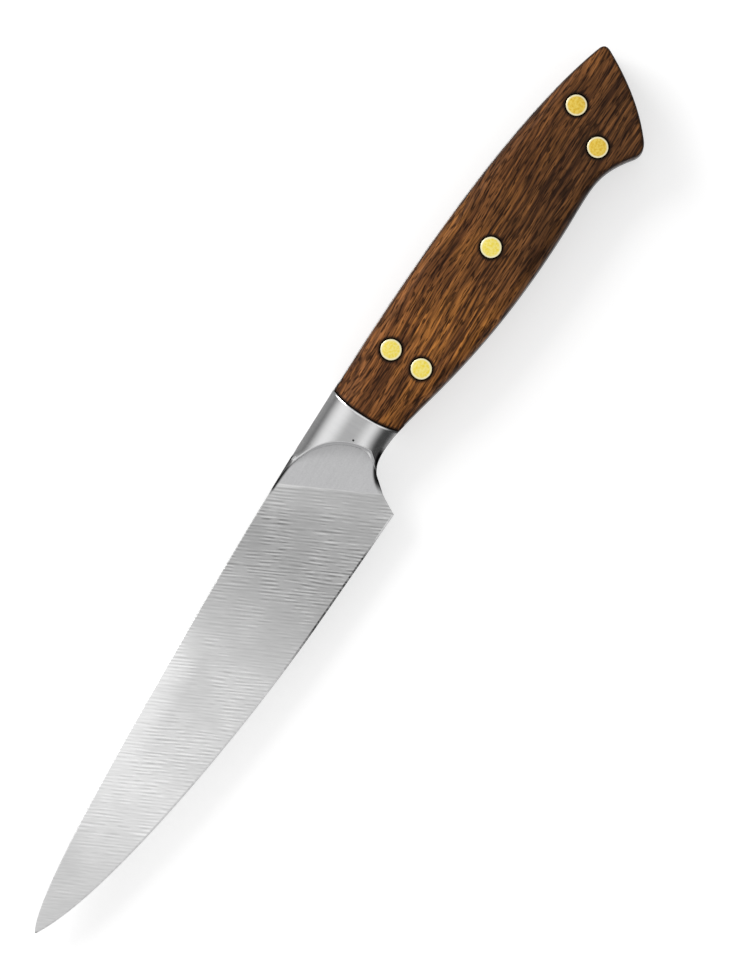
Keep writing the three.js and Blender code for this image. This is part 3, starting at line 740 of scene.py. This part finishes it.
def grains(tree, vector, size, detail, roughness=0.5, **settings):
    """Noise in grains of a size in millimetres along its coordinates, with finer layers over them."""
    scale = [side * MM for side in size]
    space = add(tree, "Mapping", {"Vector": vector, "Scale": scale}, vector_type="TEXTURE")
    layers = {"Vector": space, "Scale": 1.0, "Detail": detail, "Roughness": roughness}
    return add(tree, "TexNoise", layers, **settings)


def along_blade(tree, place, stops):
    """A grey that changes along the blade: each stop is a share of the way from the point to the heel
    and an sRGB hex colour."""
    axes = add(tree, "SeparateXYZ", {0: place})
    point, heel = placed([(POINT_TOP[0], 0, 0), (HEEL[0], 0, 0)])[:, 0]
    to_heel = add(tree, "MapRange", {"Value": axes.outputs["X"], "From Min": point, "From Max": heel})
    ramp = add(tree, "ValToRGB", {0: to_heel})
    stretch = ramp.color_ramp
    stretch.interpolation = "CARDINAL"
    stretch.elements.remove(stretch.elements[1])
    (first_place, first_code), *others = stops
    stretch.elements[0].position = first_place
    stretch.elements[0].color = linear(first_code)
    for share, code in others:
        stretch.elements.new(share).color = linear(code)
    return ramp


def under_painted_dark_reflection(tree, colour):
    """A steel's colour with the painted dark reflections along spine and notch over it."""
    line = add(tree, "Attribute", attribute_name="painted_dark_reflection")
    # painted dark reflection: near black laid over the steel along spine and notch
    return add(tree, "Mix", {0: line.outputs["Fac"], 6: colour, 7: linear("#222222")}, **COLOURS)


def finished(material, look, height, strength, depth):
    """Ends a material: its shader gets the look's inputs and a bump of a depth in millimetres from a
    height."""
    tree = material.node_tree
    bump = add(tree, "Bump", {"Strength": strength, "Distance": depth * MM, "Height": height})
    shader = add(tree, "BsdfPrincipled", {**look, "Normal": bump})
    add(tree, "OutputMaterial", {"Surface": shader})
    return material


def ground_stainless_steel():
    """Stainless steel ground across on a coarse belt and left satin: pale grey towards the point and
    darker by the heel as a painted reflection of the light falling off along the blade, ribbed with short
    scratches that run along the grind line and come and go in patches. A painted highlight brightens it
    under the middle of the spine, and a smooth strip and a painted highlight line lie beside the grind
    line."""
    material, tree, place = started("ground_stainless_steel")
    # painted reflection: the grey falls off from the point to the heel, as the overhead light does in the
    # steel
    painted_reflection = along_blade(tree, place, BLADE_PAINTED_REFLECTION)
    wear = along_blade(tree, place, BLADE_WEAR)
    # painted highlight: white mixed in within 7 mm of the spine along the middle of the blade
    painted_highlight = along_blade(tree, place, SPINE_PAINTED_HIGHLIGHT)
    by_line = add(tree, "Mapping", {
        "Vector": place, "Location": placed([(*GRIND_TOP, 0)])[0], "Rotation": (0, 0, GRIND_TURN),
    }, vector_type="TEXTURE")
    from_line = add(tree, "SeparateXYZ", {0: by_line}).outputs["Y"]
    rib_scale = [side * MM for side in RIB_SIZE]
    rib_space = add(tree, "Mapping", {"Vector": by_line, "Scale": rib_scale}, vector_type="TEXTURE")
    ribs = add(tree, "TexWave", {
        "Vector": rib_space, "Scale": WAVE_TURN, "Distortion": 5.0, "Detail": 2.0, "Detail Scale": 0.9,
    }, bands_direction="Y")
    dash_noise = grains(tree, by_line, DASH_SIZE, detail=2.0)
    dashes = add(tree, "MapRange", {"Value": dash_noise, "From Min": 0.34, "From Max": 0.66}, **SMOOTH)
    patch_noise = grains(tree, place, BLADE_PATCH_SIZE, detail=1.0)
    patches = add(tree, "MapRange", {
        "Value": patch_noise, "From Min": 0.36, "From Max": 0.62, "To Min": 0.35,
    }, **SMOOTH)
    strip = add(tree, "MapRange", {
        "Value": from_line, "From Min": -8.5 * MM, "From Max": -2.5 * MM, "To Min": 1.0, "To Max": 0.42,
    }, **SMOOTH)
    worn = add(tree, "Math", {0: wear, 1: patches}, operation="MULTIPLY")
    dashed = add(tree, "Math", {0: worn, 1: dashes}, operation="MULTIPLY")
    depth = add(tree, "Math", {0: dashed, 1: strip}, operation="MULTIPLY")
    centred = add(tree, "Math", {0: ribs.outputs["Fac"], 1: 0.5}, operation="SUBTRACT")
    marks = add(tree, "Math", {0: centred, 1: depth}, operation="MULTIPLY")
    hair_noise = grains(tree, by_line, HAIR_SIZE, detail=2.0)
    hairs = add(tree, "MapRange", {
        "Value": hair_noise, "From Min": 0.3, "From Max": 0.7, "To Min": 0.95, "To Max": 1.05,
    })
    marked = add(tree, "Math", {0: marks, 1: MARK_CONTRAST, 2: hairs}, operation="MULTIPLY_ADD")
    clouds = add(tree, "MapRange", {
        "Value": patch_noise, "From Min": 0.3, "From Max": 0.7, "To Min": 0.955, "To Max": 1.045,
    })
    shade = add(tree, "Math", {0: marked, 1: clouds}, operation="MULTIPLY")
    smooth = add(tree, "Mix", {0: strip, 6: linear("#cdcdcd"), 7: painted_reflection}, **COLOURS)
    # painted highlight: a near-white line just ahead of the grind line
    painted_glint = add(tree, "MapRange", {
        "Value": from_line, "From Min": -0.45 * MM, "From Max": -0.2 * MM, "To Max": 0.5,
    })
    lined = add(tree, "Mix", {0: painted_glint, 6: smooth, 7: linear("#f0f0f0")}, **COLOURS)
    below_spine = add(tree, "Attribute", attribute_name="below_spine").outputs["Fac"]
    near_spine = add(tree, "MapRange", {"Value": below_spine, "From Min": 7.0, "From Max": 0.0})
    painted_highlight_share = add(tree, "Math", {0: painted_highlight, 1: near_spine}, operation="MULTIPLY")
    bright = add(tree, "Mix", {0: painted_highlight_share, 6: lined, 7: linear("#ffffff")}, **COLOURS)
    colour = add(tree, "VectorMath", {0: bright, "Scale": shade}, operation="SCALE")
    rough = add(tree, "MapRange", {
        "Value": shade, "From Min": 0.8, "From Max": 1.2, "To Min": 0.36, "To Max": 0.26,
    })
    look = {"Base Color": under_painted_dark_reflection(tree, colour), "Metallic": 1.0, "Roughness": rough}
    return finished(material, look, height=marks, strength=0.3, depth=0.04)


def whetted_stainless_steel():
    """The sharpened bevel: steel whetted along its length. It is as pale as the ground faces but for a
    worn stretch ahead of the heel, which is dark and speckled with nicks of light square to the
    edge."""
    material, tree, place = started("whetted_stainless_steel")
    nicks = grains(tree, place, NICK_SIZE, detail=2.0)
    nicked = add(tree, "MapRange", {"Value": nicks, "From Min": 0.35, "From Max": 0.65})
    worn = along_blade(tree, place, EDGE_WEAR)
    pale = add(tree, "Mix", {0: nicked, 6: linear("#d8d8d8"), 7: linear("#ececec")}, **COLOURS)
    dark = add(tree, "Mix", {0: nicked, 6: linear("#2e2e2e"), 7: linear("#9a9a9a")}, **COLOURS)
    colour = add(tree, "Mix", {0: worn, 6: pale, 7: dark}, **COLOURS)
    look = {"Base Color": colour, "Metallic": 1.0, "Roughness": 0.34}
    return finished(material, look, height=nicks, strength=0.2, depth=0.03)


def matte_stainless_steel():
    """The unground flat by the bolster: forged stainless steel finished matte, an even mid grey with a
    very fine grain and faint lines along the knife."""
    material, tree, place = started("matte_stainless_steel")
    grit = grains(tree, place, GRIT_SIZE, detail=3.0)
    lines = grains(tree, place, FORGING_LINE_SIZE, detail=2.0)
    grain = add(tree, "Mix", {0: LINE_SHARE, 2: grit, 3: lines})
    colour = add(tree, "Mix", {0: grain, 6: linear("#b4b4b5"), 7: linear("#d7d7d8")}, **COLOURS)
    rough = add(tree, "MapRange", {"Value": grain, "To Min": 0.38, "To Max": 0.5})
    look = {"Base Color": under_painted_dark_reflection(tree, colour), "Metallic": 1.0, "Roughness": rough}
    return finished(material, look, height=grain, strength=0.15, depth=0.02)


def polished_stainless_steel():
    """The bolster: stainless steel buffed to a bright polish, so that it shows the light and dark of
    the room in bands, a little clouded by fine buffing lines that run across it, with one dark pit in
    its left side."""
    material, tree, place = started("polished_stainless_steel")
    buffing = grains(tree, place, BUFFING_SIZE, detail=3.0)
    cloud = grains(tree, place, CLOUD_SIZE, detail=2.0)
    haze = add(tree, "Mix", {0: CLOUD_SHARE, 2: buffing, 3: cloud})
    colour = add(tree, "Mix", {0: haze, 6: linear("#dededf"), 7: linear("#eeeeee")}, **COLOURS)
    pit = placed([(*PIT, steel_half(*np.array(PIT), 1))])[0]
    from_pit = add(tree, "VectorMath", {0: place, 1: pit}, operation="DISTANCE")
    in_pit = add(tree, "MapRange", {
        "Value": from_pit, "From Min": 1.4 * PIT_RADIUS * MM, "From Max": 0.6 * PIT_RADIUS * MM,
    }, **SMOOTH)
    pitted = add(tree, "Mix", {0: in_pit, 6: colour, 7: linear("#1c1c1c")}, **COLOURS)
    rough = add(tree, "MapRange", {"Value": haze, "To Min": 0.08, "To Max": 0.2})
    look = {"Base Color": under_painted_dark_reflection(tree, pitted), "Metallic": 1.0, "Roughness": rough}
    return finished(material, look, height=buffing, strength=0.06, depth=0.02)


def sanded_stainless_steel():
    """The tang: stainless steel sanded along the handle together with the wood, satin with fine
    lines and a darker grey than the blade's, partly painted shade for the ledge between the scales."""
    material, tree, place = started("sanded_stainless_steel")
    lines = grains(tree, place, SANDING_SIZE, detail=3.0)
    # partly painted shade: a darker grey than the blade's steel, for the ledge between the scales
    colour = add(tree, "Mix", {0: lines, 6: linear("#808080"), 7: linear("#b0b0b0")}, **COLOURS)
    rough = add(tree, "MapRange", {"Value": lines, "To Min": 0.42, "To Max": 0.26})
    look = {"Base Color": colour, "Metallic": 1.0, "Roughness": rough}
    return finished(material, look, height=lines, strength=0.2, depth=0.03)


def oiled_walnut():
    """Walnut sawn along the grain, sanded and oiled: red-brown with wavy lighter and darker growth
    lines, short dark pores along the grain and orange patches, with painted shade darkening it towards the
    belly of the rear half. Its edges and the rims of its holes are darkened with painted shade, and a dark
    line runs along its joint with the bolster. Nearly matt."""
    material, tree, place = started("oiled_walnut")
    axes = add(tree, "SeparateXYZ", {0: place})
    swing = grains(tree, place, SWAY_SIZE, detail=1.0).outputs["Color"]
    wavy = add(tree, "VectorMath", {
        0: swing, 1: (0, SWAY * MM, SWAY * MM), 2: place,
    }, operation="MULTIPLY_ADD")
    lines = grains(tree, wavy, GROWTH_LINE_SIZE, detail=4.0, roughness=0.6)
    fibres = grains(tree, wavy, FIBRE_SIZE, detail=3.0)
    pore_noise = grains(tree, wavy, PORE_SIZE, detail=1.0, roughness=0.4, noise_dimensions="4D")
    pores = add(tree, "MapRange", {
        "Value": pore_noise, "From Min": 0.53, "From Max": 0.64, "To Max": 0.8,
    }, **SMOOTH)
    line_share = add(tree, "MapRange", {"Value": lines, "From Min": 0.34, "From Max": 0.68}, **SMOOTH)
    patch_noise = grains(tree, place, WOOD_PATCH_SIZE, detail=2.0)
    patches = add(tree, "MapRange", {"Value": patch_noise, "From Min": 0.42, "From Max": 0.66}, **SMOOTH)
    belly_patch = placed([(*BELLY_PATCH, HALF_HANDLE)])[0]
    from_patch = add(tree, "VectorMath", {0: place, 1: belly_patch}, operation="DISTANCE")
    near_patch = add(tree, "MapRange", {
        "Value": from_patch, "From Min": 15 * MM, "From Max": 4 * MM,
    }, **SMOOTH)
    figure = add(tree, "Math", {0: patches, 1: near_patch}, operation="MAXIMUM")
    light_line = add(tree, "Mix", {0: figure, 6: linear("#905b30"), 7: linear("#b67536")}, **COLOURS)
    unshaded_wood = add(tree, "Mix", {0: line_share, 6: linear("#53311a"), 7: light_line}, **COLOURS)
    # painted shade: a darker copy of the wood's colours
    painted_shade_wood = add(tree, "Mix", {0: line_share, 6: linear("#321c0e"), 7: linear("#6e4726")}, **COLOURS)
    to_butt = add(tree, "MapRange", {
        "Value": axes.outputs["X"], "From Min": 38 * MM, "From Max": 80 * MM,
    }, **SMOOTH)
    to_belly = add(tree, "MapRange", {
        "Value": axes.outputs["Y"], "From Min": 12 * MM, "From Max": -6 * MM, "To Min": 0.45,
    }, **SMOOTH)
    # painted shade, growing towards the belly of the rear half
    painted_shade_share = add(tree, "Math", {0: to_butt, 1: to_belly}, operation="MULTIPLY")
    plain = add(tree, "Mix", {0: painted_shade_share, 6: unshaded_wood, 7: painted_shade_wood}, **COLOURS)
    fibre_tone = add(tree, "MapRange", {
        "Value": fibres, "From Min": 0.34, "From Max": 0.66, "To Min": 0.35, "To Max": 1.65,
    })
    fibrous = add(tree, "VectorMath", {0: plain, "Scale": fibre_tone}, operation="SCALE")
    porous = add(tree, "Mix", {0: pores, 6: fibrous, 7: linear("#1f0f06")}, **COLOURS)
    middle = placed([(0, 0, 0)])[0]
    from_middle = add(tree, "Math", {0: axes.outputs["Z"], 1: middle[2]}, operation="SUBTRACT")
    out = add(tree, "Math", {0: from_middle}, operation="ABSOLUTE")
    along = add(tree, "Math", {0: out, 1: JOINT_LEAN, 2: axes.outputs["X"]}, operation="MULTIPLY_ADD")
    joint = middle[0] + (JOINT_GAP + JOINT_LEAN * HALF_HANDLE) * MM
    from_joint = add(tree, "Math", {0: along, 1: joint}, operation="SUBTRACT")
    rim = add(tree, "Attribute", attribute_name="rim")
    from_rim = add(tree, "Math", {0: rim.outputs["Fac"], 1: MM}, operation="MULTIPLY")
    nearest = add(tree, "Math", {0: from_rim, 1: from_joint}, operation="MINIMUM")
    plan = add(tree, "VectorMath", {0: place, 1: (1, 1, 0)}, operation="MULTIPLY")
    hole_radius = (HEAD_RADIUS + HOLE_CLEARANCE) * MM
    for centre in RIVETS.values():
        x, y, _ = placed([(*centre, 0)])[0]
        gap = add(tree, "VectorMath", {0: plan, 1: (x, y, 0)}, operation="DISTANCE")
        from_hole = add(tree, "Math", {0: gap, 1: hole_radius}, operation="SUBTRACT")
        nearest = add(tree, "Math", {0: nearest, 1: from_hole}, operation="MINIMUM")
    # painted shade on the wood's edges, walls and rivet hole rims, with a dark line along the joint
    edge_shade_and_joint_line = add(tree, "MapRange", {
        "Value": nearest, "From Min": 0.05 * MM, "From Max": 0.7 * MM, "To Min": 0.85, "To Max": 0.0,
    }, **SMOOTH)
    colour = add(tree, "Mix", {0: edge_shade_and_joint_line, 6: porous, 7: linear("#1a0d06")}, **COLOURS)
    height = add(tree, "Math", {0: fibres, 1: pores}, operation="SUBTRACT")
    rough = add(tree, "MapRange", {
        "Value": height, "From Min": -0.4, "From Max": 0.7, "To Min": 0.7, "To Max": 0.45,
    })
    look = {"Base Color": colour, "Roughness": rough, "Specular IOR Level": 0.1}
    return finished(material, look, height, strength=0.4, depth=0.08)


def sanded_brass():
    """Brass rivet heads sanded flush with the wood: light yellow, mottled by small duller specks, with
    a painted highlight as a paler ring inside the edge. The heads near the butt are darker and deeper
    yellow, painted shade."""
    material, tree, place = started("sanded_brass")
    axes = add(tree, "SeparateXYZ", {0: place})
    speck_noise = grains(tree, place, SPECK_SIZE, detail=2.0)
    specks = add(tree, "MapRange", {"Value": speck_noise, "From Min": 0.38, "From Max": 0.66})
    pale = add(tree, "Mix", {0: specks, 6: linear("#fff08e"), 7: linear("#f7df52")}, **COLOURS)
    # painted shade: the heads near the butt darker and deeper yellow
    painted_shade_brass = add(tree, "Mix", {0: specks, 6: linear("#f6d868"), 7: linear("#e2ba3c")}, **COLOURS)
    to_butt = add(tree, "MapRange", {
        "Value": axes.outputs["X"], "From Min": 78 * MM, "From Max": 96 * MM,
    }, **SMOOTH)
    face = add(tree, "Mix", {0: to_butt, 6: pale, 7: painted_shade_brass}, **COLOURS)
    radius = add(tree, "Attribute", attribute_name="radius")
    # painted highlight: a paler ring just inside the head's edge
    rim = add(tree, "MapRange", {
        "Value": radius.outputs["Fac"], "From Min": HEAD_RADIUS - 0.6, "From Max": HEAD_RADIUS - 0.25,
        "To Max": 0.75,
    }, **SMOOTH)
    colour = add(tree, "Mix", {0: rim, 6: face, 7: linear("#fffbdc")}, **COLOURS)
    rough = add(tree, "MapRange", {"Value": speck_noise, "To Min": 0.25, "To Max": 0.42})
    look = {"Base Color": colour, "Metallic": 1.0, "Roughness": rough}
    return finished(material, look, height=speck_noise, strength=0.15, depth=0.03)


# Pieces

steels = {
    "ground": ground_stainless_steel(),
    "bevel": whetted_stainless_steel(),
    "flat": matte_stainless_steel(),
    "bolster": polished_stainless_steel(),
    "tang": sanded_stainless_steel(),
}
walnut = oiled_walnut()
brass = sanded_brass()

blade = object_of(forged_blade(list(steels)), steels.values())
cut(blade, object_of(turned("tang_holes", [(place, hole_profile(False)) for place in RIVETS.values()])))
mark_blade(blade.data)
finish_piece(blade, "forged_blade")

for name, side in (("left_scale", 1), ("right_scale", -1)):
    scale = object_of(scale_block(name + "_block", side), [walnut])
    cut(scale, object_of(joint_wedge(side)))
    profile = hole_profile(True) if side > 0 else mirrored(hole_profile(True))
    cut(scale, object_of(turned("scale_holes", [(place, profile) for place in RIVETS.values()])))
    mark_scale(scale.data)
    finish_piece(scale, name)

rivet_halves = [("_post", "_male", male_profile()), ("_sleeve", "_female", mirrored(female_profile()))]
for name, place in RIVETS.items():
    for part, node, profile in rivet_halves:
        half = object_of(turned(name + part, [(place, profile)]), [brass])
        mark_rivet(half.data, place)
        finish_piece(half, name + node)


# Studio: lengths in metres, but the camera's in millimetres

FLOOR_REACH = 8.0
OWN_WHITE = 0.55  # share of the paper's white that it has of itself
SEEN_PAPER = (0.6, 0.6, 0.6, 1.0)
UNSEEN_PAPER = (0.8, 0.8, 0.8, 1.0)
SKIRTING_LIGHT = 0.37
SKIRTING_SLOPE = -0.08
LIGHTS_SLOPE = 0.11
CEILING_LIGHT = 1.08
KEY_POWER = 5.0
KEY_SIZE = 0.5
KEY_DISTANCE = 1.1
KEY_DIRECTION = (0.1, 0.75, 0.65)
LENS = 200
CAMERA_RIGHT = (0.5373, -0.8434, 0)
VIEW_WIDTH = 227.5
VIEW_CENTRE = (6.2, -4.0, 13.0)


def paper_floor():
    """Sheet of white paper. Where the camera or a reflection sees it, half of its white is its own and
    half is the light that falls on it, so that the sheet is white and the knife's shadow on it is
    faint."""
    mesh = bpy.data.meshes.new("floor")
    corners = [(x * FLOOR_REACH, y * FLOOR_REACH, 0) for x, y in ((-1, -1), (1, -1), (1, 1), (-1, 1))]
    mesh.from_pydata(corners, [], [(0, 1, 2, 3)])
    material, tree = empty_material("white_paper")
    path = add(tree, "LightPath")
    seen = add(tree, "Math", {
        0: path.outputs["Is Camera Ray"], 1: path.outputs["Is Glossy Ray"],
    }, operation="MAXIMUM")
    shown = add(tree, "Math", {0: seen, 1: path.outputs["Is Transmission Ray"]}, operation="MAXIMUM")
    own = add(tree, "Math", {0: shown, 1: OWN_WHITE}, operation="MULTIPLY")
    glow = add(tree, "Emission", {"Strength": own})
    lit = add(tree, "Mix", {0: shown, 6: UNSEEN_PAPER, 7: SEEN_PAPER}, **COLOURS)
    paper = add(tree, "BsdfDiffuse", {"Color": lit})
    both = add(tree, "AddShader", {0: glow, 1: paper})
    add(tree, "OutputMaterial", {"Surface": both})
    object_of(mesh, [material])


def surround():
    """Pale studio round the knife: white paper along the horizon and a grey skirting above it, dark
    walls that draw the shape of the polished steel, a soft light on either side, a window past the
    point and a lit ceiling."""
    world = bpy.data.worlds.new("surround")
    world.use_nodes = True
    tree = world.node_tree
    tree.nodes.clear()
    axes = add(tree, "SeparateXYZ", {0: add(tree, "TexCoord").outputs["Generated"]})
    x, y, z = axes.outputs
    sideways = add(tree, "Math", {0: y}, operation="ABSOLUTE")
    softboxes = add(tree, "MapRange", {
        "Value": sideways, "From Min": 0.02, "From Max": 0.55, "To Min": 0.62, "To Max": 1.17,
    }, **SMOOTH)
    overhead = add(tree, "MapRange", {"Value": z, "From Min": 0.86, "From Max": 0.96}, **SMOOTH)
    ceiling = add(tree, "Mix", {0: overhead, 2: softboxes, 3: CEILING_LIGHT})
    paper = add(tree, "MapRange", {
        "Value": z, "From Min": 0.05, "From Max": 0.1, "To Min": 1.0, "To Max": SKIRTING_LIGHT,
    }, **SMOOTH)
    sloping = add(tree, "Math", {0: y, 1: SKIRTING_SLOPE, 2: z}, operation="MULTIPLY_ADD")
    skirting = add(tree, "MapRange", {
        "Value": sloping, "From Min": 0.12, "From Max": 0.28, "To Min": SKIRTING_LIGHT, "To Max": 0.07,
    }, **SMOOTH)
    walls = add(tree, "Math", {0: paper, 1: skirting}, operation="MINIMUM")
    leaning = add(tree, "Math", {0: y, 1: LIGHTS_SLOPE, 2: z}, operation="MULTIPLY_ADD")
    lights = add(tree, "MapRange", {"Value": leaning, "From Min": 0.32, "From Max": 0.73}, **SMOOTH)
    window = add(tree, "MapRange", {"Value": x, "From Min": -0.6, "From Max": -0.8}, **SMOOTH)
    lit = add(tree, "Math", {0: lights, 1: window}, operation="MAXIMUM")
    strength = add(tree, "Mix", {0: lit, 2: walls, 3: ceiling})
    shader = add(tree, "Background", {"Strength": strength})
    add(tree, "OutputWorld", {"Surface": shader})
    bpy.context.scene.world = world


def key_light():
    """Square lamp above the spine's side, which throws a soft shadow past the edge."""
    light = bpy.data.lights.new("key", "AREA")
    light.energy = KEY_POWER
    light.size = KEY_SIZE
    lamp = bpy.data.objects.new("key", light)
    bpy.context.scene.collection.objects.link(lamp)
    away = Vector(KEY_DIRECTION).normalized()
    lamp.location = away * KEY_DISTANCE
    lamp.rotation_mode = "QUATERNION"
    lamp.rotation_quaternion = (-away).to_track_quat("-Z", "Y")


def camera():
    """Looks straight down on the left side, turned so that the point is at the lower left."""
    right = Vector(CAMERA_RIGHT)
    up = Vector((0, 0, 1)).cross(right)
    lens = bpy.data.cameras.new("camera")
    lens.lens = LENS
    eye = bpy.data.objects.new("camera", lens)
    bpy.context.scene.collection.objects.link(eye)
    back = Vector((0, 0, VIEW_WIDTH * LENS / lens.sensor_width))
    turn = Matrix((right, up, right.cross(up))).transposed().to_4x4()
    eye.matrix_world = Matrix.Translation((Vector(VIEW_CENTRE) + back) * MM) @ turn
    bpy.context.scene.camera = eye


paper_floor()
surround()
key_light()
camera()
bpy.context.scene.view_settings.view_transform = "Standard"
